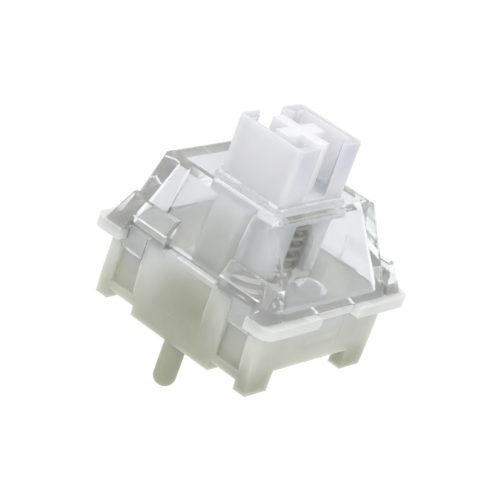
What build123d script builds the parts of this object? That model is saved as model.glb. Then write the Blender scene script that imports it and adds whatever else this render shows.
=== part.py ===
from build123d import *
import os

# Contactless key switch for a keyboard plate. Millimetres, +Z along the stroke,
# origin on the board plane in the middle of the housing, light window towards -Y.

# Fit to the plate, the board and the keycap
plate_seat_height = 5.0
plate_hole_width = 14.0
plate_thickness = 1.5
plate_hole_play = 0.05
peg_diameter = 1.6
peg_edge_margin = 0.12
peg_length = 3.5
peg_tip_radius = 0.75
cross_span = 4.1
cross_arm_width = 1.2
cross_setback = 0.35
travel = 4.0

# Lower housing
flange_seat_width = 0.98
flange_thickness = 0.8
flange_corner_radius = 0.9
flange_tab_length_front = 2.08
flange_tab_length_back = 2.48
body_corner_radius = 0.7
side_wall_taper = 0.555
side_upright_height = 1.3
side_wall_thickness = 1.125
end_wall_thickness = 1.025
cavity_corner_radius = 0.6
floor_thickness = 0.9
deep_floor_reach_y = 3.0
riser_thickness = 0.6
raised_floor_thickness = 0.85
window_arch_height = 1.55
side_arch_height = 0.75
foot_length_x = 2.3
foot_length_y = 1.05
spring_seat_depth = 0.3
side_panel_reach_y = 2.15
side_panel_bottom = 1.9
side_panel_depth = 0.3
side_panel_rim = 0.45
side_ear_rise = 0.2
guide_rib_width = 0.7
guide_rib_depth = 1.1
join_depth = 0.2

# Plate clips in the window wall and the back wall
clip_tab_width = 3.8
clip_slit_width = 0.3
clip_slit_bottom = 2.6
clip_nub_reach = 0.35
clip_nub_height = 0.7
clip_nub_land = 0.15
clip_nub_inset = 0.25
clip_lip_setback = 0.48
clip_lip_cut = 0.3

# Latches that hold the cover, two on each narrow side
latch_leg_width = 1.9
latch_leg_thickness = 0.55
latch_leg_length = 1.6
latch_leg_inset = 0.03
latch_leg_root = 0.15
latch_play = 0.1
latch_pocket_bottom = 1.4
latch_barb_reach = 0.22
latch_barb_height = 0.5
latch_barb_width = 1.3
latch_notch_play = 0.08

# Cover
cover_height = 5.62
cover_side_setback = 0.375
cover_end_setback = 0.63
cover_base_radius = 1.5
cover_side_land = 2.37
cover_front_land = 1.17
cover_back_land = 2.96
cover_top_radius = 0.5
cover_front_edge_radius = 0.4
cover_side_edge_radius = 1.1
cover_corner_allowance = 0.02
cover_top_thickness = 0.87
cover_inner_radius_min = 0.3
cover_wall_at_base = 0.8
cover_wall_at_top = 1.05
side_recess_reach_front = 2.4
side_recess_reach_back = 3.6
side_recess_depth_at_top = 0.5
side_recess_depth_at_base = 0.1
ear_play = 0.05
shoulder_rise = 2.05
shoulder_relief_height = 0.95
shoulder_ear_gap = 0.3
shoulder_side_setback = 0.2
shoulder_side_lean = 1.13
shoulder_end_setback = 0.05
shoulder_end_lean = 0.6
shoulder_root_depth = 0.7
shoulder_corner_radius = 0.45

# Slider
slider_stand = 4.08
slider_width_x = 6.86
slider_width_y = 5.56
slider_corner_radius = 0.35
slider_play = 0.12
keycap_bore_radius = 2.97
keycap_bore_depth = 3.9
keycap_slot_width = 2.6
skirt_overlap = 0.28
skirt_thickness = 0.5
top_stop_play = 0.05
sleeve_width_x = 5.5
sleeve_floor_gap = 1.0
sleeve_slot_width = 1.9
sleeve_slot_top_margin = 0.2
wing_thickness = 2.3
wing_play = 0.1
wing_wall_gap = 0.6
wing_top_step = 0.65
wing_upright_rise = 1.6
bottom_stop_play = 0.1
pole_spring_play = 0.17
pole_wall = 0.43
pole_bottom_play = 0.4

# Return spring
spring_outer_diameter = 4.4
spring_wire_diameter = 0.28
spring_turns = 11
spring_wire_sides = 4
spring_play = 0.1
spring_seat_play = 0.02

# Magnet in the foot of the pole
magnet_length = 2.6
magnet_play = 0.02
magnet_setback = 0.1

# Light guide below the window
light_shaft_radius = 1.05
light_collar_radius = 1.25
light_play = 0.05
light_tube_wall = 0.35
light_tube_setback = 0.2
light_collar_height = 0.5
light_dome_height = 0.3
light_bottom = 1.9

# Reaches from the middle and heights of the base, from the sizes above
body_reach = (plate_hole_width - plate_hole_play) / 2
flange_reach = plate_hole_width / 2 + flange_seat_width
foot_reach_x = body_reach - side_wall_taper
peg_centre_x = foot_reach_x - peg_edge_margin - peg_diameter / 2
cavity_reach_x = body_reach - side_wall_thickness
cavity_reach_y = body_reach - end_wall_thickness
tab_start_front = flange_reach - flange_tab_length_front
tab_start_back = flange_reach - flange_tab_length_back
rim_height = plate_seat_height + flange_thickness
taper_height = plate_seat_height - side_upright_height
raised_floor_top = window_arch_height + raised_floor_thickness
ear_top = rim_height + side_ear_rise
latch_centre_y = cavity_reach_y - latch_play - latch_leg_width / 2
latch_leg_bottom = rim_height - latch_leg_length

# The cover stands on the base, its top follows the slider
cover_top_height = rim_height + cover_height
cover_ceiling = cover_top_height - cover_top_thickness
cover_base_reach_x = body_reach - cover_side_setback
cover_base_reach_y = flange_reach - cover_end_setback
cover_top_reach_x = slider_width_x / 2 + cover_side_land
cover_top_front = slider_width_y / 2 + cover_front_land
cover_top_back = slider_width_y / 2 + cover_back_land
shoulder_height = rim_height + shoulder_rise
shoulder_underside = rim_height + shoulder_relief_height
shoulder_start_y = side_panel_reach_y + ear_play + shoulder_ear_gap
shoulder_inner_x = cover_base_reach_x - shoulder_root_depth
shoulder_base_reach_x = flange_reach - shoulder_side_setback
shoulder_top_reach_x = shoulder_base_reach_x - shoulder_side_lean
shoulder_base_reach_y = cover_base_reach_y - shoulder_end_setback
shoulder_top_reach_y = shoulder_base_reach_y - shoulder_end_lean

# The slider hangs from the cover and clears the floor at full stroke
slider_top_height = cover_top_height + slider_stand
cross_top_height = slider_top_height - cross_setback
keycap_bore_floor = slider_top_height - keycap_bore_depth
skirt_top = cover_ceiling - top_stop_play
skirt_bottom = skirt_top - skirt_thickness
sleeve_bore_radius = spring_outer_diameter / 2 + spring_play
sleeve_bottom = floor_thickness + travel + sleeve_floor_gap
wing_bottom = floor_thickness + travel + bottom_stop_play
wing_reach_x = cavity_reach_x - wing_wall_gap
wing_reach_top_x = wing_reach_x - wing_top_step
wing_slope_height = rim_height + wing_upright_rise
pole_bottom = floor_thickness + travel + pole_bottom_play
pole_radius = spring_outer_diameter / 2 - spring_wire_diameter - pole_spring_play
magnet_radius = pole_radius - pole_wall - magnet_play

# The spring stands in the floor, the light guide at the front wall
spring_floor = floor_thickness - spring_seat_depth
spring_ceiling = skirt_bottom
light_tube_top = rim_height - light_tube_setback
light_centre_y = light_collar_radius - cavity_reach_y


def rounded_prism(width_x, width_y, radius, bottom, top, centre_y=0.0):
    """Upright prism on a rounded rectangle."""
    outline = Pos(0, centre_y, bottom) * RectangleRounded(width_x, width_y, radius)
    return extrude(outline, top - bottom)


def brick(x_from, x_to, y_from, y_to, z_from, z_to):
    """Plain block between two corners, given in any order."""
    centre = Pos((x_from + x_to) / 2, (y_from + y_to) / 2, (z_from + z_to) / 2)
    return centre * Box(abs(x_to - x_from), abs(y_to - y_from), abs(z_to - z_from))


def disc(radius, bottom, top, x=0.0, y=0.0):
    """Upright round bar."""
    return extrude(Pos(x, y, bottom) * Circle(radius), top - bottom)


def side_profile(points, reach_y):
    """Prism along Y on an outline drawn in X and Z, as far to each side of the middle."""
    face = Plane.XZ * make_face(Polyline(*points, close=True))
    return extrude(face, reach_y, both=True)


def front_profile(points, reach_x):
    """Prism along X on an outline drawn in Y and Z, as far to each side of the middle."""
    face = Plane.YZ * make_face(Polyline(*points, close=True))
    return extrude(face, reach_x, both=True)


def lower_shell():
    """Tub with the flange, upright at the window and the back, drawn in below the plate at the sides."""
    half_section = [(foot_reach_x, 0), (body_reach, taper_height), (body_reach, rim_height)]
    mirrored = [(-x, z) for x, z in reversed(half_section)]
    body = side_profile(half_section + mirrored, body_reach)
    body &= rounded_prism(2 * body_reach, 2 * body_reach, body_corner_radius, 0, rim_height)
    flange = rounded_prism(2 * flange_reach, 2 * flange_reach, flange_corner_radius,
                           plate_seat_height, rim_height)
    for side in (-1, 1):
        flange -= brick(side * body_reach, side * flange_reach, -tab_start_front, tab_start_back,
                        plate_seat_height, rim_height)
        ear = brick(side * cavity_reach_x, side * body_reach, -side_panel_reach_y, side_panel_reach_y,
                    rim_height, ear_top)
        body += ear
    cavity = rounded_prism(2 * cavity_reach_x, 2 * cavity_reach_y, cavity_corner_radius,
                           raised_floor_top, rim_height)
    well = rounded_prism(2 * cavity_reach_x, 2 * deep_floor_reach_y, cavity_corner_radius,
                         floor_thickness, rim_height)
    return body + flange - cavity - well


def underside_cuts():
    """Arches between the feet: higher at the window and the back than at the sides."""
    block_reach_y = deep_floor_reach_y + riser_thickness
    foot_start_x = foot_reach_x - foot_length_x
    foot_start_y = body_reach - foot_length_y
    cuts = Part()
    for side in (-1, 1):
        cuts += brick(-body_reach, body_reach, side * block_reach_y, side * foot_start_y,
                      0, side_arch_height)
        cuts += brick(-foot_start_x, foot_start_x, side * block_reach_y, side * body_reach,
                      0, window_arch_height)
    return cuts


def side_pegs():
    """Two round pegs that locate the switch on its board."""
    pegs = Part()
    for side in (-1, 1):
        peg = disc(peg_diameter / 2, -peg_length, floor_thickness / 2, x=side * peg_centre_x)
        peg = fillet(peg.edges().group_by(Axis.Z)[0], peg_tip_radius)
        pegs += peg
    return pegs


def guide_ribs():
    """Two pairs of upright ribs that keep the wings of the slider in line."""
    inner = wing_thickness / 2 + wing_play
    ribs = Part()
    for side_x in (-1, 1):
        for side_y in (-1, 1):
            ribs += brick(side_x * (cavity_reach_x - guide_rib_depth),
                          side_x * (cavity_reach_x + join_depth),
                          side_y * inner, side_y * (inner + guide_rib_width),
                          floor_thickness / 2, rim_height)
    return ribs


def latch_pockets():
    """Pockets in the side walls for the legs of the cover, each with a notch for its barb."""
    back_x = body_reach - latch_leg_inset - latch_leg_thickness - latch_play / 2
    half_width = latch_leg_width / 2 + latch_play
    notch_half = latch_barb_width / 2 + latch_notch_play
    notch_x = back_x - latch_barb_reach - latch_notch_play + latch_play / 2
    notch_top = latch_leg_bottom + latch_barb_height + latch_notch_play
    pockets = Part()
    for side_x in (-1, 1):
        for side_y in (-1, 1):
            middle = side_y * latch_centre_y
            pockets += brick(side_x * back_x, side_x * body_reach,
                             middle - half_width, middle + half_width, latch_pocket_bottom, rim_height)
            pockets += brick(side_x * notch_x, side_x * body_reach, middle - notch_half,
                             middle + notch_half, latch_leg_bottom - latch_notch_play, notch_top)
    return pockets


def side_panels():
    """Shallow sunk panel in the middle of each side wall."""
    cuts = Part()
    for side in (-1, 1):
        inner_top = body_reach - side_panel_depth
        inner_bottom = inner_top - (body_reach - foot_reach_x)
        outline = [(side * inner_bottom, 0), (side * inner_top, taper_height),
                   (side * inner_top, rim_height), (side * flange_reach, rim_height),
                   (side * flange_reach, 0)]
        band = side_profile(outline, side_panel_reach_y)
        cuts += band & brick(0, side * flange_reach, -body_reach, body_reach, side_panel_bottom,
                             ear_top - side_panel_rim)
    return cuts


def plate_clips(shell):
    """Springy tab in the window wall and in the back wall, with a nub that snaps below the plate."""
    half_tab = clip_tab_width / 2
    nub_top = plate_seat_height - plate_thickness
    lip_y = flange_reach - clip_lip_setback
    for side in (-1, 1):
        for slit in (-1, 1):
            shell -= brick(slit * half_tab, slit * (half_tab + clip_slit_width),
                           side * (cavity_reach_y - join_depth), side * flange_reach,
                           clip_slit_bottom, rim_height)
        shell -= brick(-half_tab, half_tab, side * lip_y, side * flange_reach, 0, rim_height)
        shell -= brick(-half_tab, half_tab, side * body_reach, side * flange_reach,
                       plate_seat_height, plate_seat_height + clip_lip_cut)
        nub_root = body_reach - join_depth
        nub_tip = body_reach + clip_nub_reach
        outline = [(side * nub_root, nub_top), (side * nub_tip, nub_top),
                   (side * nub_tip, nub_top - clip_nub_land), (side * nub_root, nub_top - clip_nub_height)]
        shell += front_profile(outline, half_tab - clip_nub_inset)
    return shell


def lower_housing():
    """Milky base: tub, flange, feet, pegs, latch pockets, guide ribs, plate clips and light tube."""
    shell = lower_shell() - underside_cuts() - latch_pockets() - side_panels()
    shell = plate_clips(shell)
    tube_radius = light_shaft_radius + light_play + light_tube_wall
    tube = disc(tube_radius, window_arch_height, light_tube_top, y=light_centre_y)
    tube &= brick(-tube_radius, tube_radius, -cavity_reach_y - join_depth, 0, 0, light_tube_top)
    shell += tube + guide_ribs() + side_pegs()
    shell -= disc(light_shaft_radius + light_play, 0, light_tube_top, y=light_centre_y)
    shell -= disc(spring_outer_diameter / 2 + spring_play, spring_floor, floor_thickness)
    return shell


def cover_section(height, inset):
    """Outline of the cover at one height, drawn in by the given wall."""
    share = (height - rim_height) / (cover_top_height - rim_height)
    reach_x = cover_base_reach_x + share * (cover_top_reach_x - cover_base_reach_x)
    front = cover_base_reach_y + share * (cover_top_front - cover_base_reach_y)
    back = cover_base_reach_y + share * (cover_top_back - cover_base_reach_y)
    radius = cover_base_radius + share * (cover_top_radius - cover_base_radius)
    inner_radius = max(radius - inset / 2, cover_inner_radius_min)
    outline = RectangleRounded(2 * (reach_x - inset), front + back - 2 * inset, inner_radius)
    return Pos(0, (back - front) / 2, height) * outline


def cover_block():
    """Solid form of the cover: sloped on all sides, well rounded along the side edges of its top."""
    sides = make_face(Polyline((-cover_base_reach_x, rim_height), (-cover_top_reach_x, cover_top_height),
                               (cover_top_reach_x, cover_top_height), (cover_base_reach_x, rim_height),
                               close=True))
    sides = fillet(sides.vertices().group_by(Axis.Y)[-1], cover_side_edge_radius)
    ends = make_face(Polyline((-cover_base_reach_y, rim_height), (-cover_top_front, cover_top_height),
                              (cover_top_back, cover_top_height), (cover_base_reach_y, rim_height),
                              close=True))
    ends = fillet(ends.vertices().group_by(Axis.Y)[-1], cover_front_edge_radius)
    corners = loft([cover_section(rim_height, -cover_corner_allowance),
                    cover_section(cover_top_height, -cover_corner_allowance)])
    block = extrude(Plane.XZ * sides, flange_reach, both=True)
    return block & extrude(Plane.YZ * ends, flange_reach, both=True) & corners


def side_recesses():
    """Flat sunk field in the middle of each side face, from the top edge down to the ear of the base."""
    low = cover_base_reach_x - side_recess_depth_at_base
    high = cover_top_reach_x - side_recess_depth_at_top
    length = side_recess_reach_front + side_recess_reach_back
    middle = (side_recess_reach_back - side_recess_reach_front) / 2
    cuts = Part()
    for side in (-1, 1):
        outline = [(side * low, rim_height), (side * high, cover_top_height),
                   (side * flange_reach, cover_top_height), (side * flange_reach, rim_height)]
        cuts += Pos(0, middle, 0) * side_profile(outline, length / 2)
        cuts += brick(side * cavity_reach_x, side * flange_reach, -side_panel_reach_y - ear_play,
                      side_panel_reach_y + ear_play, rim_height, ear_top + ear_play)
    return cuts


def shoulder(side_x, side_y):
    """Flared block low on a corner of the cover that carries a latch leg, cut free beside its leg."""
    def section(height, reach_x, reach_y):
        middle_x = side_x * (reach_x + shoulder_inner_x) / 2
        middle_y = side_y * (reach_y + shoulder_start_y) / 2
        outline = Rectangle(reach_x - shoulder_inner_x, reach_y - shoulder_start_y)
        return Pos(middle_x, middle_y, height) * outline
    block = loft([section(rim_height, shoulder_base_reach_x, shoulder_base_reach_y),
                  section(shoulder_height, shoulder_top_reach_x, shoulder_top_reach_y)])
    corner = (side_x * (shoulder_base_reach_x + shoulder_top_reach_x) / 2,
              side_y * (shoulder_base_reach_y + shoulder_top_reach_y) / 2,
              (rim_height + shoulder_height) / 2)
    block = fillet(block.edges().sort_by_distance(corner)[0], shoulder_corner_radius)
    tab_start = tab_start_front if side_y < 0 else tab_start_back
    return block - brick(side_x * body_reach, side_x * flange_reach, 0, side_y * tab_start,
                         rim_height, shoulder_underside)


def latch_leg(side_x, side_y):
    """Leg that reaches into the pocket of the base, with a barb on its inner face."""
    outer_x = body_reach - latch_leg_inset
    inner_x = outer_x - latch_leg_thickness
    middle = side_y * latch_centre_y
    leg = brick(side_x * inner_x, side_x * outer_x, middle - latch_leg_width / 2,
                middle + latch_leg_width / 2, latch_leg_bottom, rim_height + latch_leg_root)
    root_x = inner_x + join_depth
    barb_top = latch_leg_bottom + latch_barb_height
    barb_outline = [(side_x * root_x, latch_leg_bottom), (side_x * inner_x, latch_leg_bottom),
                    (side_x * (inner_x - latch_barb_reach), barb_top), (side_x * root_x, barb_top)]
    barb = Pos(0, middle, 0) * side_profile(barb_outline, latch_barb_width / 2)
    return leg + barb


def upper_housing():
    """Clear cover: sloped shell with the slider opening, sunk side fields, shoulders and latch legs."""
    inner = loft([cover_section(rim_height, cover_wall_at_base),
                  cover_section(cover_ceiling, cover_wall_at_top)])
    shell = cover_block() - side_recesses()
    for side_x in (-1, 1):
        for side_y in (-1, 1):
            shell += shoulder(side_x, side_y)
    shell -= inner
    for side_x in (-1, 1):
        for side_y in (-1, 1):
            shell += latch_leg(side_x, side_y)
    opening = rounded_prism(slider_width_x + 2 * slider_play, slider_width_y + 2 * slider_play,
                            slider_corner_radius + slider_play, cover_ceiling, cover_top_height)
    return shell - opening


def keycap_mount():
    """Walled cross: a box with a round bore that opens by a slot at the front and the back."""
    box = rounded_prism(slider_width_x, slider_width_y, slider_corner_radius,
                        skirt_bottom, slider_top_height)
    box -= disc(keycap_bore_radius, keycap_bore_floor, slider_top_height)
    box -= brick(-keycap_slot_width / 2, keycap_slot_width / 2, -slider_width_y / 2, slider_width_y / 2,
                 keycap_bore_floor, slider_top_height)
    arm_x = brick(-cross_span / 2, cross_span / 2, -cross_arm_width / 2, cross_arm_width / 2,
                  keycap_bore_floor, cross_top_height)
    arm_y = brick(-cross_arm_width / 2, cross_arm_width / 2, -cross_span / 2, cross_span / 2,
                  keycap_bore_floor, cross_top_height)
    return box + arm_x + arm_y


def slider_wings():
    """Wings at the two sides: they run between the ribs of the base and stop below the cover."""
    root = sleeve_width_x / 2 - join_depth
    wings = Part()
    for side in (-1, 1):
        outline = [(side * root, skirt_top), (side * wing_reach_top_x, skirt_top),
                   (side * wing_reach_x, wing_slope_height), (side * wing_reach_x, wing_bottom),
                   (side * root, wing_bottom)]
        wings += side_profile(outline, wing_thickness / 2)
    return wings


def stem():
    """Slider: keycap mount, stop skirt, slotted sleeve round the spring, wings and hollow pole."""
    skirt_reach = slider_play + skirt_overlap
    skirt = rounded_prism(slider_width_x + 2 * skirt_reach, slider_width_y + 2 * skirt_reach,
                          slider_corner_radius + skirt_reach, skirt_bottom, skirt_top)
    sleeve = rounded_prism(sleeve_width_x, slider_width_y, slider_corner_radius,
                           sleeve_bottom, skirt_bottom)
    body = keycap_mount() + skirt + sleeve + slider_wings()
    body -= disc(sleeve_bore_radius, wing_bottom, spring_ceiling)
    slot_top = spring_ceiling - sleeve_slot_top_margin
    body -= brick(-sleeve_slot_width / 2, sleeve_slot_width / 2, -slider_width_y, slider_width_y,
                  sleeve_bottom, slot_top)
    body += disc(pole_radius, pole_bottom, spring_ceiling)
    seat_top = pole_bottom + magnet_setback + magnet_length + magnet_play
    return body - disc(magnet_radius + magnet_play, pole_bottom, seat_top)


def return_spring():
    """Compression spring between the floor of the base and the slider."""
    wire = spring_wire_diameter / 2
    low = spring_floor + wire + spring_seat_play
    high = spring_ceiling - wire - spring_seat_play
    radius = spring_outer_diameter / 2 - wire
    path = Pos(0, 0, low) * Helix(pitch=(high - low) / spring_turns, height=high - low, radius=radius)
    section = Plane(origin=path @ 0, z_dir=path % 0) * RegularPolygon(wire, spring_wire_sides)
    return sweep(section, path=path, is_frenet=True)


def magnet():
    """Round magnet pressed into the foot of the pole."""
    bottom = pole_bottom + magnet_setback
    return disc(magnet_radius, bottom, bottom + magnet_length)


def light_guide():
    """Clear pin with a domed collar that carries light up to the window."""
    collar_top = light_tube_top + light_collar_height
    dome_radius = (light_collar_radius ** 2 + light_dome_height ** 2) / (2 * light_dome_height)
    pin = disc(light_shaft_radius, light_bottom, light_tube_top, y=light_centre_y)
    collar = disc(light_collar_radius, light_tube_top, collar_top + light_dome_height, y=light_centre_y)
    dome_centre = collar_top + light_dome_height - dome_radius
    collar &= Pos(0, light_centre_y, dome_centre) * Sphere(dome_radius)
    return pin + collar


pieces = {
    "lower_housing": lower_housing,
    "upper_housing": upper_housing,
    "stem": stem,
    "return_spring": return_spring,
    "magnet": magnet,
    "light_guide": light_guide,
}

os.makedirs("parts", exist_ok=True)
for name, make in pieces.items():
    export_step(make(), f"parts/{name}.step")
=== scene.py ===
import math
import bmesh
import bpy
from mathutils import Matrix, Vector


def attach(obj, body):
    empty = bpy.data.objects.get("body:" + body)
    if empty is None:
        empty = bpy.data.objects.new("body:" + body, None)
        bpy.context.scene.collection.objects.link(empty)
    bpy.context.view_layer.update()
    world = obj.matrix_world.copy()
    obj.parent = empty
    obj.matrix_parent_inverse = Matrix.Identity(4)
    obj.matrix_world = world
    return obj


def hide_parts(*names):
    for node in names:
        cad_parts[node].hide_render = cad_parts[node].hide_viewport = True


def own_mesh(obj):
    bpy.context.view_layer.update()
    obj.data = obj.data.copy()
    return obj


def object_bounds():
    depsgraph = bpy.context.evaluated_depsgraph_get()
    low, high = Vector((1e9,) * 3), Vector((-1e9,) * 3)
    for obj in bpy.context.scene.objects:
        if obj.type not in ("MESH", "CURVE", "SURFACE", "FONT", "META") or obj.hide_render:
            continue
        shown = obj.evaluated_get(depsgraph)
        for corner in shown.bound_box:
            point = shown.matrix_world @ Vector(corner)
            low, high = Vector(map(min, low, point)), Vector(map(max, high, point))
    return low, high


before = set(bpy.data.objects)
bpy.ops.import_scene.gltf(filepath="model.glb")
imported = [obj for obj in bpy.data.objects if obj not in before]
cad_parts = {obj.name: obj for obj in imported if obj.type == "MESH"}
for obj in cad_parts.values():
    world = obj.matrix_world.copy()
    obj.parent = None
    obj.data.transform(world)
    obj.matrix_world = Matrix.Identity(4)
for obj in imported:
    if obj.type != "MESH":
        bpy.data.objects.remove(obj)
cad_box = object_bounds()

MM = 0.001
MERGE_DISTANCE = 0.0002 * MM

# Camera fitted to the photograph: turned about the object, tilted, then rolled
VIEW_AZIMUTH = math.radians(58.08)
VIEW_ELEVATION = math.radians(23.56)
VIEW_ROLL = math.radians(20.27)
VIEW_DISTANCE = 158.78 * MM
VIEW_TARGET = Vector((0, 0, 6.0 * MM))
VIEW_SLIDE = (-0.42 * MM, 0.10 * MM)
FOCAL_SHARE = 2352.3 / 500
SENSOR_MM = 36.0
CLIP_START = 0.005
CLIP_END = 20.0

# Studio
FLOOR_REACH = 3.0
FLOOR_DROP = 60.0 * MM
ROOM_LIGHT = 0.97
LAMP_SIZE = 0.25
LAMPS = (("key", (0.05, -0.25, 0.35), 0.15), ("rim", (-0.35, 0.1, 0.2), 0.1))

# Slider: thin walls beside the cross, the cross nearly up to the rim, and the slot in front of the spring
SLIDER_TOP = 15.5 * MM
CROSS_TOP = 15.33 * MM
CROSS_ROOT = 15.0 * MM
CROSS_REACH = 2.05 * MM
CROSS_HALF_ARM = 0.6 * MM
POCKET_FROM_X = 2.15 * MM
POCKET_TO_X = 3.1 * MM
POCKET_REACH_Y = 2.2 * MM
POCKET_FLOOR = 11.7 * MM
SLOT_REACH_X = 1.36 * MM
SLOT_REACH_Y = 2.9 * MM
SLOT_BORE = 1.95 * MM
SLOT_LOW = 5.8 * MM
SLOT_HIGH = 9.75 * MM
SLEEVE_BORE = 2.62 * MM
SLEEVE_LOW = 4.9 * MM
SLEEVE_HIGH = 9.98 * MM
RING_SIDES = 64

# Base: the sunk fields of the side walls run out softly
FIELD_REACH_Y = 2.2 * MM
FIELD_LOW = 1.85 * MM
FIELD_HIGH = 5.6 * MM
FIELD_DEPTH = 0.24 * MM
FIELD_LEAST = 0.012 * MM
FIELD_BACK = 0.5 * MM
FIELD_SOFT_Y = 3.0 * MM
FIELD_SOFT_Z = 1.7 * MM
FIELD_STEPS = 24
WALL_X = 6.975 * MM
WALL_FOOT_X = 6.42 * MM
WALL_TAPER_HEIGHT = 3.7 * MM
OUTSIDE = WALL_X + MM

# Base: the clip lies close in its wall, with a nearly flat nub
CLIP_SLIT_FROM = 1.88 * MM
CLIP_SLIT_TO = 2.22 * MM
CLIP_WALL_Y = 6.96 * MM
CLIP_WALL_BACK = 6.0 * MM
CLIP_SLIT_LOW = 2.58 * MM
CLIP_SLIT_HIGH = 5.78 * MM
CLIP_NUB_FACE = 7.05 * MM
CLIP_NUB_REACH_X = 1.75 * MM
CLIP_NUB_LOW = 2.65 * MM
CLIP_NUB_HIGH = 3.55 * MM

# Return spring
SPRING_LOW = 1.1 * MM
SPRING_HIGH = 9.78 * MM
SPRING_RADIUS = 2.38 * MM
SPRING_WIRE_RADIUS = 0.17 * MM
SPRING_TURNS = 11.0
SPRING_PITCH = (SPRING_HIGH - SPRING_LOW) / SPRING_TURNS
SPRING_STEPS_PER_TURN = 40
SPRING_WIRE_SIDES = 10

# Cover: flow waves, and the spot through which the photograph shows the spring most clearly
FLOW_SPACING = 3.846 * MM
FLOW_HEIGHT = 0.05 * MM
CLEAR_PLACE = (-3.6 * MM, -5.2 * MM, 10.5 * MM)
CLEAR_REACH_X = 1.9 * MM
CLEAR_REACH_Z = 2.9 * MM

# Nylon: heights between which it is toned paler, the painted shade in the middle of the side walls, and the painted
# shade on the feet at the window side
NYLON_LOW = -3.5 * MM
NYLON_HIGH = 6.0 * MM
SIDE_SHADE_PLACE = (0, -0.6 * MM, 3.1 * MM)
SIDE_SHADE_REACH_Y = 3.9 * MM
SIDE_SHADE_REACH_Z = 4.0 * MM
SIDE_SHADE_FROM_X = 6.0 * MM
SIDE_SHADE_FULL_X = 6.5 * MM
FOOT_FROM_HEIGHT = 2.2 * MM
FOOT_FULL_HEIGHT = 0.3 * MM
FOOT_FROM_Y = -3.5 * MM
FOOT_FULL_Y = -5.5 * MM

# Nylon: painted light on the lip over the clips, a painted highlight along the top edge of the side walls, and painted
# light on the inside of the tub
LIP_FACE_Y = 6.6 * MM
LIP_REACH_X = 3.6 * MM
LIP_LOW = 4.9 * MM
LIP_HIGH = 5.82 * MM
EDGE_FACE_X = 6.5 * MM
EDGE_FROM_Y = -4.2 * MM
EDGE_TO_Y = 1.2 * MM
EDGE_LOW = 5.9 * MM
EDGE_HIGH = 6.05 * MM
TUB_REACH_X = 5.9 * MM
TUB_REACH_Y = 6.0 * MM
TUB_FLOOR = 0.5 * MM

# Nylon: spacing of its clouds and of the mould's grain, and the soft moulded edges
NYLON_CLOUD_SPACING = 2.381 * MM
NYLON_GRAIN_SPACING = 0.1111 * MM
NYLON_GRAIN_HEIGHT = 0.01 * MM
NYLON_EDGE_RADIUS = 0.18 * MM
NYLON_GLOW_DEPTH = 3.0 * MM

# Acetal: height at which its painted light and shade start to change, and the places of the painted shade on the wings
# and the pole and the painted light inside the mount
ACETAL_LOW = 5.0 * MM
WING_FROM_X = 3.0 * MM
WING_FULL_X = 3.9 * MM
POLE_REACH = 1.8 * MM
POLE_TOP = 10.0 * MM
MOUNT_REACH_X = 3.15 * MM
MOUNT_REACH_Y = 2.7 * MM
MOUNT_LOW = 11.0 * MM
MOUNT_HIGH = 15.4 * MM
ACETAL_CLOUD_SPACING = 3.125 * MM
ACETAL_GLOW_DEPTH = 1.8 * MM

# Metals: lines left by drawing the wire, and grain of the magnet under its plating
DRAWN_LINE_SPACING = 0.0333 * MM
PLATING_GRAIN_SPACING = 0.4 * MM


def linear(hex_colour):
    """Linear colour of an sRGB hex value."""
    parts = [int(hex_colour[i:i + 2], 16) / 255 for i in (1, 3, 5)]
    return tuple(c / 12.92 if c <= 0.04045 else ((c + 0.055) / 1.055) ** 2.4 for c in parts) + (1.0,)


def add_node(tree, kind, settings=None, links=None):
    """A node with its settings (properties, input values or colour stops) and the sockets linked into it."""
    node = tree.nodes.new(kind)
    for key, value in (settings or {}).items():
        if key == "stops":
            elements = node.color_ramp.elements
            while len(elements) < len(value):
                elements.new(0.5)
            for element, (position, colour) in zip(elements, value):
                element.position = position
                element.color = linear(colour)
        elif isinstance(key, str) and hasattr(node, key):
            setattr(node, key, value)
        else:
            node.inputs[key].default_value = value
    for key, source in (links or {}).items():
        tree.links.new(source, node.inputs[key])
    return node


def new_material(name):
    """An empty node material and its tree."""
    material = bpy.data.materials.new(name)
    material.use_nodes = True
    material.node_tree.nodes.clear()
    return material, material.node_tree


def both_sides(near, far):
    """The two mirrored ranges between a near and a far distance from the middle."""
    return (-far, -near), (near, far)


def both(tree, first, second):
    """Share of the surface that two masks have in common."""
    return add_node(tree, "ShaderNodeMath", {"operation": "MULTIPLY"}, {0: first, 1: second}).outputs[0]


def within(tree, place, low, high):
    """One inside the block between two corners and nothing outside it, for a place."""
    above = add_node(tree, "ShaderNodeVectorMath", {"operation": "SUBTRACT", 1: low}, {0: place})
    below = add_node(tree, "ShaderNodeVectorMath", {"operation": "SUBTRACT", 0: high}, {1: place})
    least = add_node(tree, "ShaderNodeVectorMath", {"operation": "MINIMUM"},
                     {0: above.outputs[0], 1: below.outputs[0]})
    axes = add_node(tree, "ShaderNodeSeparateXYZ", {}, {0: least.outputs[0]})
    first = add_node(tree, "ShaderNodeMath", {"operation": "MINIMUM"}, {0: axes.outputs[0], 1: axes.outputs[1]})
    least = add_node(tree, "ShaderNodeMath", {"operation": "MINIMUM"}, {0: first.outputs[0], 1: axes.outputs[2]})
    inside = add_node(tree, "ShaderNodeMath", {"operation": "GREATER_THAN", 1: 0.0}, {0: least.outputs[0]})
    return inside.outputs[0]


def away_from(tree, place, centre, weights):
    """Distance of a place from a centre, with a weight for each axis."""
    offset = tuple(-part for part in centre)
    centred = add_node(tree, "ShaderNodeMapping", {"Location": offset}, {"Vector": place})
    spread = add_node(tree, "ShaderNodeVectorMath", {"operation": "MULTIPLY", 1: weights}, {0: centred.outputs[0]})
    return add_node(tree, "ShaderNodeVectorMath", {"operation": "LENGTH"}, {0: spread.outputs[0]}).outputs["Value"]


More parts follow.
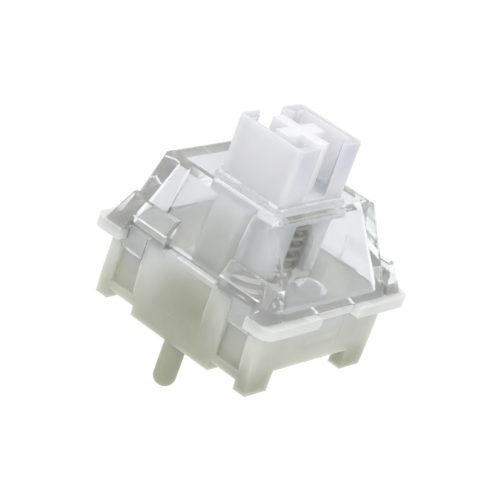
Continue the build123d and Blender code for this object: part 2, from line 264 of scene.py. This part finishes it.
def laid_over(tree, colour, regions):
    """A colour with the tone of each region laid over it in turn."""
    for share, tone in regions:
        mix = add_node(tree, "ShaderNodeMix", {"data_type": "RGBA", 7: linear(tone)}, {0: share, 6: colour})
        colour = mix.outputs[2]
    return colour


def clouded(tree, place, colour, spacing, detail, darkest):
    """A colour with faint clouds in it, as uneven cooling leaves them in a milky plastic."""
    cloud = add_node(tree, "ShaderNodeTexNoise", {"Scale": 1 / spacing, **detail}, {"Vector": place})
    tint = add_node(tree, "ShaderNodeValToRGB", {"stops": [(0.3, darkest), (0.7, "#FFFFFF")]},
                    {"Fac": cloud.outputs[0]})
    mix = add_node(tree, "ShaderNodeMix", {"data_type": "RGBA", "blend_type": "MULTIPLY", 0: 1.0},
                   {6: colour, 7: tint.outputs[0]})
    return mix.outputs[2]


def clear_polycarbonate():
    """Clear polycarbonate, injection moulded: glassy with a slight haze and a faint flow waviness."""
    material, tree = new_material("clear_polycarbonate_moulded")
    place = add_node(tree, "ShaderNodeTexCoord").outputs["Object"]
    flow = add_node(tree, "ShaderNodeTexNoise", {"Scale": 1 / FLOW_SPACING, "Detail": 2.0}, {"Vector": place})
    bump = add_node(tree, "ShaderNodeBump", {"Strength": 0.15, "Distance": FLOW_HEIGHT}, {"Height": flow.outputs[0]})
    # Only outer faces are hazy, so that a wall isn't hazed twice
    inner_side = add_node(tree, "ShaderNodeNewGeometry").outputs["Backfacing"]
    away = away_from(tree, place, CLEAR_PLACE, (1 / CLEAR_REACH_X, 1 / CLEAR_REACH_X, 1 / CLEAR_REACH_Z))
    outer = add_node(tree, "ShaderNodeMapRange", {
        "From Min": 0.6, "From Max": 1.2, "To Min": 0.9, "To Max": 0.72, "interpolation_type": "SMOOTHSTEP",
    }, {"Value": away})
    clearness = add_node(tree, "ShaderNodeMapRange", {"To Max": 1.0}, {"Value": inner_side, "To Min": outer.outputs[0]})
    shader = add_node(tree, "ShaderNodeBsdfPrincipled", {
        "Base Color": linear("#FAFBFC"), "Roughness": 0.06, "IOR": 1.33,
    }, {"Normal": bump.outputs[0], "Transmission Weight": clearness.outputs[0]})
    add_node(tree, "ShaderNodeOutputMaterial", {}, {"Surface": shader.outputs[0]})
    return material


def side_shade(tree, place, side):
    """Mask of the painted shade in the middle of each side wall."""
    on_side = add_node(tree, "ShaderNodeMapRange", {"From Min": SIDE_SHADE_FROM_X, "From Max": SIDE_SHADE_FULL_X},
                       {"Value": side})
    away = away_from(tree, place, SIDE_SHADE_PLACE, (0, 1 / SIDE_SHADE_REACH_Y, 1 / SIDE_SHADE_REACH_Z))
    near = add_node(tree, "ShaderNodeMapRange", {
        "From Min": 1.0, "From Max": 0.2, "To Min": 0.0, "To Max": 0.85, "interpolation_type": "SMOOTHSTEP",
    }, {"Value": away})
    return both(tree, near.outputs[0], on_side.outputs[0])


def foot_shade(tree, axes):
    """Mask of the painted shade on the feet at the window side."""
    low = add_node(tree, "ShaderNodeMapRange", {"From Min": FOOT_FROM_HEIGHT, "From Max": FOOT_FULL_HEIGHT},
                   {"Value": axes["Z"]})
    end = add_node(tree, "ShaderNodeMapRange", {"From Min": FOOT_FROM_Y, "From Max": FOOT_FULL_Y, "To Max": 0.75},
                   {"Value": axes["Y"]})
    return both(tree, low.outputs[0], end.outputs[0])


def painted_tub_light(tree, axes, side):
    """Mask of the inside of the tub, where painted light makes it paler."""
    across = add_node(tree, "ShaderNodeMath", {"operation": "ABSOLUTE"}, {0: axes["Y"]})
    inside_x = add_node(tree, "ShaderNodeMath", {"operation": "LESS_THAN", 1: TUB_REACH_X}, {0: side})
    inside_y = add_node(tree, "ShaderNodeMath", {"operation": "LESS_THAN", 1: TUB_REACH_Y}, {0: across.outputs[0]})
    above = add_node(tree, "ShaderNodeMath", {"operation": "GREATER_THAN", 1: TUB_FLOOR}, {0: axes["Z"]})
    return both(tree, both(tree, inside_x.outputs[0], inside_y.outputs[0]), above.outputs[0])


def milky_nylon():
    """Natural nylon, moulded: pale and milky, toned darker and greener towards the bottom, with painted shade and
    painted light laid over it.
    """
    material, tree = new_material("natural_nylon_moulded")
    place = add_node(tree, "ShaderNodeTexCoord").outputs["Object"]
    axes = add_node(tree, "ShaderNodeSeparateXYZ", {}, {0: place}).outputs
    side = add_node(tree, "ShaderNodeMath", {"operation": "ABSOLUTE"}, {0: axes["X"]}).outputs[0]
    rise = add_node(tree, "ShaderNodeMapRange", {"From Min": NYLON_LOW, "From Max": NYLON_HIGH}, {"Value": axes["Z"]})
    depth = add_node(tree, "ShaderNodeValToRGB", {"stops": [
        (0.0, "#999B8C"), (0.37, "#A8AA9B"), (0.45, "#B7B9AC"), (0.66, "#C9CAC2"), (0.84, "#D6D8D4"), (1.0, "#DCDEDD"),
    ]}, {"Fac": rise.outputs[0]}).outputs[0]
    # Painted shade in the middle of the side walls and on the feet
    regions = [(side_shade(tree, place, side), "#AAAC99"), (foot_shade(tree, axes), "#939586")]
    # Painted light: the lip over the clips is toned pale
    for near, far in both_sides(LIP_FACE_Y, OUTSIDE):
        lip_painted_light = within(tree, place, (-LIP_REACH_X, near, LIP_LOW), (LIP_REACH_X, far, LIP_HIGH))
        regions.append((lip_painted_light, "#F0F1EE"))
    # Painted highlight: a white line along the top edge of the side walls
    for near, far in both_sides(EDGE_FACE_X, OUTSIDE):
        edge_painted_highlight = within(tree, place, (near, EDGE_FROM_Y, EDGE_LOW), (far, EDGE_TO_Y, EDGE_HIGH))
        regions.append((edge_painted_highlight, "#FFFFFF"))
    # Painted light: the inside of the tub is toned paler
    regions.append((painted_tub_light(tree, axes, side), "#F4F5F0"))
    colour = clouded(tree, place, laid_over(tree, depth, regions), NYLON_CLOUD_SPACING,
                     {"Detail": 4.0, "Roughness": 0.6}, "#F3F3F1")
    grain = add_node(tree, "ShaderNodeTexNoise", {"Scale": 1 / NYLON_GRAIN_SPACING, "Detail": 2.0}, {"Vector": place})
    soft_edge = add_node(tree, "ShaderNodeBevel", {"samples": 6, "Radius": NYLON_EDGE_RADIUS})
    bump = add_node(tree, "ShaderNodeBump", {"Strength": 0.2, "Distance": NYLON_GRAIN_HEIGHT},
                    {"Height": grain.outputs[0], "Normal": soft_edge.outputs[0]})
    shader = add_node(tree, "ShaderNodeBsdfPrincipled", {
        "Roughness": 0.42, "IOR": 1.53, "Subsurface Weight": 0.9,
        "Subsurface Radius": (1.1, 1.1, 1.0), "Subsurface Scale": NYLON_GLOW_DEPTH,
    }, {"Base Color": colour, "Normal": bump.outputs[0]})
    add_node(tree, "ShaderNodeOutputMaterial", {}, {"Surface": shader.outputs[0]})
    return material


def milky_acetal():
    """Acetal, moulded: dense milky white, a little bluish, with a soft slippery sheen; painted light keeps it pale low
    down and in the recess of the cross, and painted shade darkens its top, the low wings and the post inside the
    spring.
    """
    material, tree = new_material("natural_acetal_moulded")
    place = add_node(tree, "ShaderNodeTexCoord").outputs["Object"]
    axes = add_node(tree, "ShaderNodeSeparateXYZ", {}, {0: place}).outputs
    rise = add_node(tree, "ShaderNodeMapRange", {"From Min": ACETAL_LOW, "From Max": SLIDER_TOP}, {"Value": axes["Z"]})
    # Painted light and shade: toned paler low down, where shade falls inside the cover, and darker at the top, where
    # the lamps light it most
    depth = add_node(tree, "ShaderNodeValToRGB", {"stops": [
        (0.0, "#FDFDFF"), (0.6, "#F6F6FC"), (0.75, "#DFDFE8"), (1.0, "#CACAD3"),
    ]}, {"Fac": rise.outputs[0]})
    # Painted shade: the wings are toned darker and greener low down, where the shade inside the cover falls on them
    wing_painted_shade = add_node(tree, "ShaderNodeValToRGB", {"stops": [
        (0.0, "#B9BCAF"), (0.3, "#C3C6BC"), (0.5, "#F0F1F0"),
    ]}, {"Fac": rise.outputs[0]})
    side = add_node(tree, "ShaderNodeMath", {"operation": "ABSOLUTE"}, {0: axes["X"]})
    wing = add_node(tree, "ShaderNodeMapRange", {"From Min": WING_FROM_X, "From Max": WING_FULL_X},
                    {"Value": side.outputs[0]})
    body = add_node(tree, "ShaderNodeMix", {"data_type": "RGBA"},
                    {0: wing.outputs[0], 6: depth.outputs[0], 7: wing_painted_shade.outputs[0]})
    radius = away_from(tree, place, (0, 0, 0), (1, 1, 0))
    near_axis = add_node(tree, "ShaderNodeMath", {"operation": "LESS_THAN", 1: POLE_REACH}, {0: radius})
    below = add_node(tree, "ShaderNodeMath", {"operation": "LESS_THAN", 1: POLE_TOP}, {0: axes["Z"]})
    pole_painted_shade = both(tree, near_axis.outputs[0], below.outputs[0])
    # Painted light: the inside of the cross's recess is toned pale against the shade that falls in it
    mount_painted_light = within(tree, place, (-MOUNT_REACH_X, -MOUNT_REACH_Y, MOUNT_LOW), (MOUNT_REACH_X, MOUNT_REACH_Y, MOUNT_HIGH))
    # The post inside the spring is painted dark as painted shade, standing for the shade in the gaps between the coils
    tone = laid_over(tree, body.outputs[2], [(pole_painted_shade, "#6E6C62"), (mount_painted_light, "#F4F4F9")])
    shader = add_node(tree, "ShaderNodeBsdfPrincipled", {
        "Roughness": 0.4, "IOR": 1.48, "Subsurface Weight": 0.85,
        "Subsurface Radius": (1.0, 1.0, 1.05), "Subsurface Scale": ACETAL_GLOW_DEPTH,
    }, {"Base Color": clouded(tree, place, tone, ACETAL_CLOUD_SPACING, {"Detail": 3.0}, "#F9F9FB")})
    add_node(tree, "ShaderNodeOutputMaterial", {}, {"Surface": shader.outputs[0]})
    return material


def streaked_metal(tree, pattern, darkest, lightest, finest, roughest):
    """Bare metal whose tone and gloss follow a pattern."""
    tone = add_node(tree, "ShaderNodeValToRGB", {"stops": [(0.3, darkest), (0.7, lightest)]}, {"Fac": pattern})
    gloss = add_node(tree, "ShaderNodeMapRange", {"To Min": finest, "To Max": roughest}, {"Value": pattern})
    shader = add_node(tree, "ShaderNodeBsdfPrincipled", {"Metallic": 1.0},
                      {"Base Color": tone.outputs[0], "Roughness": gloss.outputs[0]})
    add_node(tree, "ShaderNodeOutputMaterial", {}, {"Surface": shader.outputs[0]})


def spring_steel():
    """Drawn stainless spring wire: dull bright, with fine lines drawn along the wire."""
    material, tree = new_material("drawn_steel_wire")
    place = add_node(tree, "ShaderNodeTexCoord").outputs["Object"]
    axes = add_node(tree, "ShaderNodeSeparateXYZ", {}, {0: place}).outputs
    turn = add_node(tree, "ShaderNodeMath", {"operation": "ARCTAN2"}, {0: axes["Y"], 1: axes["X"]})
    climb = add_node(tree, "ShaderNodeMath", {"operation": "MULTIPLY", 1: SPRING_PITCH / (2 * math.pi)},
                     {0: turn.outputs[0]})
    height = add_node(tree, "ShaderNodeMath", {"operation": "SUBTRACT"}, {0: axes["Z"], 1: climb.outputs[0]})
    radius = away_from(tree, place, (0, 0, 0), (1, 1, 0))
    section = add_node(tree, "ShaderNodeCombineXYZ", {}, {0: radius, 1: height.outputs[0]})
    lines = add_node(tree, "ShaderNodeTexNoise", {"Scale": 1 / DRAWN_LINE_SPACING, "Detail": 2.0},
                     {"Vector": section.outputs[0]})
    streaked_metal(tree, lines.outputs[0], "#8B887B", "#A19E91", 0.28, 0.42)
    return material


def nickel_plate():
    """Nickel plating on a sintered magnet: bright, with the faint mottling of the grain below it."""
    material, tree = new_material("nickel_plate")
    place = add_node(tree, "ShaderNodeTexCoord").outputs["Object"]
    grain = add_node(tree, "ShaderNodeTexNoise", {"Scale": 1 / PLATING_GRAIN_SPACING, "Detail": 3.0}, {"Vector": place})
    streaked_metal(tree, grain.outputs[0], "#B3B1AA", "#C4C2BB", 0.16, 0.3)
    return material


def assign(node, material):
    """Gives a CAD node one material."""
    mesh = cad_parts[node].data
    mesh.materials.clear()
    mesh.materials.append(material)


def cutter(name, points, faces):
    """A shape that is added to a piece or taken away from it, not yet shown."""
    mesh = bpy.data.meshes.new(name)
    mesh.from_pydata(points, [], faces)
    return bpy.data.objects.new(name, mesh)


def block(name, low, high):
    """Plain block between two corners."""
    corners = [(x, y, z) for z in (low[2], high[2]) for y in (low[1], high[1]) for x in (low[0], high[0])]
    sides = [(0, 2, 3, 1), (4, 5, 7, 6), (0, 1, 5, 4), (2, 6, 7, 3), (0, 4, 6, 2), (1, 3, 7, 5)]
    return cutter(name, corners, sides)


def ring_block(name, radius, inner_radius, low, high):
    """Round block with a round hole, upright on the axis."""
    turns = [2 * math.pi * i / RING_SIDES for i in range(RING_SIDES)]
    corners = [(r * math.cos(t), r * math.sin(t), z)
               for r in (radius, inner_radius) for z in (low, high) for t in turns]
    outer_low, outer_high, inner_low, inner_high = (k * RING_SIDES for k in range(4))
    faces = []
    for i in range(RING_SIDES):
        j = (i + 1) % RING_SIDES
        faces.append((outer_low + i, outer_low + j, outer_high + j, outer_high + i))
        faces.append((inner_low + j, inner_low + i, inner_high + i, inner_high + j))
        faces.append((outer_high + i, outer_high + j, inner_high + j, inner_high + i))
        faces.append((outer_low + j, outer_low + i, inner_low + i, inner_low + j))
    return cutter(name, corners, faces)


def eased(share):
    """Smooth step from 0 to 1."""
    share = min(max(share, 0.0), 1.0)
    return share * share * (3 - 2 * share)


def soft_field(name, side):
    """Fill of a sunk field in a side wall: deepest at the window end, run out towards the back and the foot."""
    points = []
    for behind in (False, True):
        for i in range(FIELD_STEPS + 1):
            y = -FIELD_REACH_Y + 2 * FIELD_REACH_Y * i / FIELD_STEPS
            for k in range(FIELD_STEPS + 1):
                z = FIELD_LOW + (FIELD_HIGH - FIELD_LOW) * k / FIELD_STEPS
                wall = WALL_FOOT_X + (WALL_X - WALL_FOOT_X) * min(z / WALL_TAPER_HEIGHT, 1.0)
                sunk = eased(1 - (y + FIELD_REACH_Y) / FIELD_SOFT_Y) * eased((z - FIELD_LOW) / FIELD_SOFT_Z)
                depth = FIELD_BACK if behind else max(FIELD_DEPTH * sunk, FIELD_LEAST)
                points.append((side * (wall - depth), y, z))
    row = FIELD_STEPS + 1
    sheet = row * row
    faces = []
    for i in range(FIELD_STEPS):
        for k in range(FIELD_STEPS):
            a = i * row + k
            faces.append((a, a + 1, a + row + 1, a + row))
            faces.append((sheet + a, sheet + a + row, sheet + a + row + 1, sheet + a + 1))
        low, high, near, far = i * row, i * row + FIELD_STEPS, i, FIELD_STEPS * row + i
        faces.append((low, low + row, sheet + low + row, sheet + low))
        faces.append((high + row, high, sheet + high, sheet + high + row))
        faces.append((near + 1, near, sheet + near, sheet + near + 1))
        faces.append((far, far + 1, sheet + far + 1, sheet + far))
    if side > 0:
        faces = [tuple(reversed(face)) for face in faces]
    return cutter(name, points, faces)


def finished(piece, name):
    """Plain mesh object of a piece with its modifiers worked in; the piece itself goes."""
    shown = piece.evaluated_get(bpy.context.evaluated_depsgraph_get())
    mesh = bpy.data.meshes.new_from_object(shown)
    bpy.data.objects.remove(piece)
    result = bpy.data.objects.new(name, mesh)
    bpy.context.scene.collection.objects.link(result)
    return result


def merge_close(mesh):
    """Joins the points of a mesh that lie on one another, and drops faces without area."""
    merged = bmesh.new()
    merged.from_mesh(mesh)
    bmesh.ops.remove_doubles(merged, verts=merged.verts, dist=MERGE_DISTANCE)
    bmesh.ops.dissolve_degenerate(merged, edges=merged.edges, dist=MERGE_DISTANCE)
    merged.to_mesh(mesh)
    merged.free()


def worked(node, name, cutters, material, body):
    """A copy of a CAD node's mesh with shapes added and taken away, which then stands for the node."""
    raw = bpy.data.objects.new(name + "_raw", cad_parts[node].data.copy())
    merge_close(raw.data)
    bpy.context.scene.collection.objects.link(raw)
    for operation, tool in cutters:
        bpy.context.scene.collection.objects.link(tool)
        cut = raw.modifiers.new(tool.name, "BOOLEAN")
        cut.operation = operation
        cut.object = tool
        cut.solver = "EXACT"
    bpy.context.view_layer.update()
    piece = finished(raw, name)
    for operation, tool in cutters:
        bpy.data.objects.remove(tool)
    merge_close(piece.data)
    piece.data.materials.clear()
    piece.data.materials.append(material)
    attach(piece, body)
    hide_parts(node)


def base_tub(material):
    """The base with soft side fields, closed clip slits and flat clip nubs."""
    cutters = [("UNION", soft_field("field", side)) for side in (-1, 1)]
    for y_low, y_high in both_sides(CLIP_WALL_BACK, CLIP_WALL_Y):
        for x_low, x_high in both_sides(CLIP_SLIT_FROM, CLIP_SLIT_TO):
            cutters.append(("UNION", block("slit", (x_low, y_low, CLIP_SLIT_LOW), (x_high, y_high, CLIP_SLIT_HIGH))))
    for y_low, y_high in both_sides(CLIP_NUB_FACE, OUTSIDE):
        cutters.append(("DIFFERENCE", block("nub", (-CLIP_NUB_REACH_X, y_low, CLIP_NUB_LOW),
                                            (CLIP_NUB_REACH_X, y_high, CLIP_NUB_HIGH))))
    worked("lower_housing", "base_tub", cutters, material, "housing")


def walled_cross(material):
    """The slider with its walls pared thin beside the cross, a higher cross and a wider slot before the spring."""
    cutters = []
    for x_low, x_high in both_sides(POCKET_FROM_X, POCKET_TO_X):
        cutters.append(("DIFFERENCE", block("pocket", (x_low, -POCKET_REACH_Y, POCKET_FLOOR),
                                            (x_high, POCKET_REACH_Y, SLIDER_TOP + MM))))
    for name, reach_x, reach_y in (("arm_x", CROSS_REACH, CROSS_HALF_ARM), ("arm_y", CROSS_HALF_ARM, CROSS_REACH)):
        cutters.append(("UNION", block(name, (-reach_x, -reach_y, CROSS_ROOT), (reach_x, reach_y, CROSS_TOP))))
    for y_low, y_high in both_sides(SLOT_BORE, SLOT_REACH_Y):
        cutters.append(("DIFFERENCE", block("slot", (-SLOT_REACH_X, y_low, SLOT_LOW),
                                            (SLOT_REACH_X, y_high, SLOT_HIGH))))
    cutters.append(("DIFFERENCE", ring_block("bore", SLEEVE_BORE, POLE_REACH, SLEEVE_LOW, SLEEVE_HIGH)))
    worked("stem", "slider_walled_cross", cutters, material, "slider")


def coil_tree():
    """Node tree of a round wire wound on a cylinder, with its sizes as inputs."""
    tree = bpy.data.node_groups.new("wound_wire", "GeometryNodeTree")
    for name, kind in (("Turns", "NodeSocketFloat"), ("Height", "NodeSocketFloat"), ("Coil Radius", "NodeSocketFloat"),
                       ("Wire Radius", "NodeSocketFloat"), ("Wire Material", "NodeSocketMaterial")):
        tree.interface.new_socket(name, in_out="INPUT", socket_type=kind)
    tree.interface.new_socket("Geometry", in_out="OUTPUT", socket_type="NodeSocketGeometry")
    sizes = add_node(tree, "NodeGroupInput").outputs
    path = add_node(tree, "GeometryNodeCurveSpiral", {"Resolution": SPRING_STEPS_PER_TURN}, {
        "Rotations": sizes["Turns"], "Start Radius": sizes["Coil Radius"], "End Radius": sizes["Coil Radius"],
        "Height": sizes["Height"]})
    section = add_node(tree, "GeometryNodeCurvePrimitiveCircle", {"Resolution": SPRING_WIRE_SIDES},
                       {"Radius": sizes["Wire Radius"]})
    wire = add_node(tree, "GeometryNodeCurveToMesh", {"Fill Caps": True},
                    {"Curve": path.outputs[0], "Profile Curve": section.outputs[0]})
    real = add_node(tree, "GeometryNodeRealizeInstances", {}, {0: wire.outputs[0]})
    finish = add_node(tree, "GeometryNodeSetMaterial", {},
                      {"Geometry": real.outputs[0], "Material": sizes["Wire Material"]})
    add_node(tree, "NodeGroupOutput", {}, {"Geometry": finish.outputs[0]})
    return tree


def return_spring(material):
    """Round-wire compression spring from the floor of the base to the slider, carried with the housing."""
    tree = coil_tree()
    raw = bpy.data.objects.new("spring_raw", bpy.data.meshes.new("spring_raw"))
    bpy.context.scene.collection.objects.link(raw)
    winding = raw.modifiers.new("winding", "NODES")
    winding.node_group = tree
    values = {"Turns": SPRING_TURNS, "Height": SPRING_HIGH - SPRING_LOW, "Coil Radius": SPRING_RADIUS,
              "Wire Radius": SPRING_WIRE_RADIUS, "Wire Material": material}
    for item in tree.interface.items_tree:
        if item.in_out == "INPUT":
            winding[item.identifier] = values[item.name]
    bpy.context.view_layer.update()
    spring = finished(raw, "return_spring_wire")
    spring.data.transform(Matrix.Translation((0, 0, SPRING_LOW)))
    spring.data.shade_smooth()
    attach(spring, "housing")
    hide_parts("return_spring")
    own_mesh(spring)


def seen_by(tree, rays):
    """One for a ray of any of the kinds named, and nothing for the rest."""
    path = add_node(tree, "ShaderNodeLightPath").outputs
    seen = path[rays[0]]
    for ray in rays[1:]:
        seen = add_node(tree, "ShaderNodeMath", {"operation": "MAXIMUM"}, {0: seen, 1: path[ray]}).outputs[0]
    return seen


def stage():
    """Pale floor well below the object, which the camera sees as plain white."""
    reach = FLOOR_REACH
    low = cad_box[0][2] - FLOOR_DROP
    mesh = bpy.data.meshes.new("floor")
    corners = [(-reach, -reach, low), (reach, -reach, low), (reach, reach, low), (-reach, reach, low)]
    mesh.from_pydata(corners, [], [(0, 1, 2, 3)])
    floor = bpy.data.objects.new("floor", mesh)
    bpy.context.scene.collection.objects.link(floor)
    material, tree = new_material("white_paper")
    seen = seen_by(tree, ("Is Camera Ray", "Is Glossy Ray", "Is Transmission Ray"))
    paper = add_node(tree, "ShaderNodeBsdfDiffuse", {"Color": linear("#F4F4F4")})
    glow = add_node(tree, "ShaderNodeEmission", {"Color": (1, 1, 1, 1), "Strength": 1.0})
    mix = add_node(tree, "ShaderNodeMixShader", {}, {0: seen, 1: paper.outputs[0], 2: glow.outputs[0]})
    add_node(tree, "ShaderNodeOutputMaterial", {}, {"Surface": mix.outputs[0]})
    mesh.materials.append(material)


def light():
    """Soft light from all round, with one weak broad lamp on the window side and one on the left."""
    world = bpy.data.worlds.new("studio")
    bpy.context.scene.world = world
    world.use_nodes = True
    tree = world.node_tree
    tree.nodes.clear()
    seen = seen_by(tree, ("Is Camera Ray", "Is Transmission Ray"))
    strength = add_node(tree, "ShaderNodeMapRange", {"To Min": ROOM_LIGHT, "To Max": 1.0}, {"Value": seen})
    back = add_node(tree, "ShaderNodeBackground", {"Color": (1, 1, 1, 1)}, {"Strength": strength.outputs[0]})
    add_node(tree, "ShaderNodeOutputWorld", {}, {"Surface": back.outputs[0]})
    for name, place, power in LAMPS:
        lamp = bpy.data.lights.new(name, "AREA")
        lamp.shape = "DISK"
        lamp.size = LAMP_SIZE
        lamp.energy = power
        holder = bpy.data.objects.new(name, lamp)
        bpy.context.scene.collection.objects.link(holder)
        holder.location = place
        holder.rotation_euler = (VIEW_TARGET - Vector(place)).to_track_quat("-Z", "Y").to_euler()


def camera():
    """Camera at the photograph's place, with its roll."""
    ahead = Vector((math.sin(VIEW_AZIMUTH) * math.cos(VIEW_ELEVATION),
                    math.cos(VIEW_AZIMUTH) * math.cos(VIEW_ELEVATION), -math.sin(VIEW_ELEVATION)))
    right = Vector((math.cos(VIEW_AZIMUTH), -math.sin(VIEW_AZIMUTH), 0))
    up = right.cross(ahead)
    right_rolled = right * math.cos(VIEW_ROLL) + up * math.sin(VIEW_ROLL)
    up_rolled = up * math.cos(VIEW_ROLL) - right * math.sin(VIEW_ROLL)
    place = VIEW_TARGET + right_rolled * VIEW_SLIDE[0] + up_rolled * VIEW_SLIDE[1] - ahead * VIEW_DISTANCE
    lens = bpy.data.cameras.new("photo_view")
    lens.sensor_width = SENSOR_MM
    lens.lens = SENSOR_MM * FOCAL_SHARE
    lens.clip_start = CLIP_START
    lens.clip_end = CLIP_END
    holder = bpy.data.objects.new("photo_view", lens)
    bpy.context.scene.collection.objects.link(holder)
    axes = Matrix((right_rolled, up_rolled, -ahead)).transposed().to_4x4()
    holder.matrix_world = Matrix.Translation(place) @ axes
    bpy.context.scene.camera = holder


camera()
light()
stage()
clear = clear_polycarbonate()
assign("upper_housing", clear)
assign("light_guide", clear)
base_tub(milky_nylon())
assign("magnet", nickel_plate())
walled_cross(milky_acetal())
return_spring(spring_steel())

bpy.context.scene.view_settings.view_transform = "Standard"

# Enough bounces for light to find its way out of the clear cover, whose rims are black otherwise
bounces = bpy.context.scene.cycles
bounces.max_bounces = 32
bounces.glossy_bounces = 16
bounces.transmission_bounces = 24
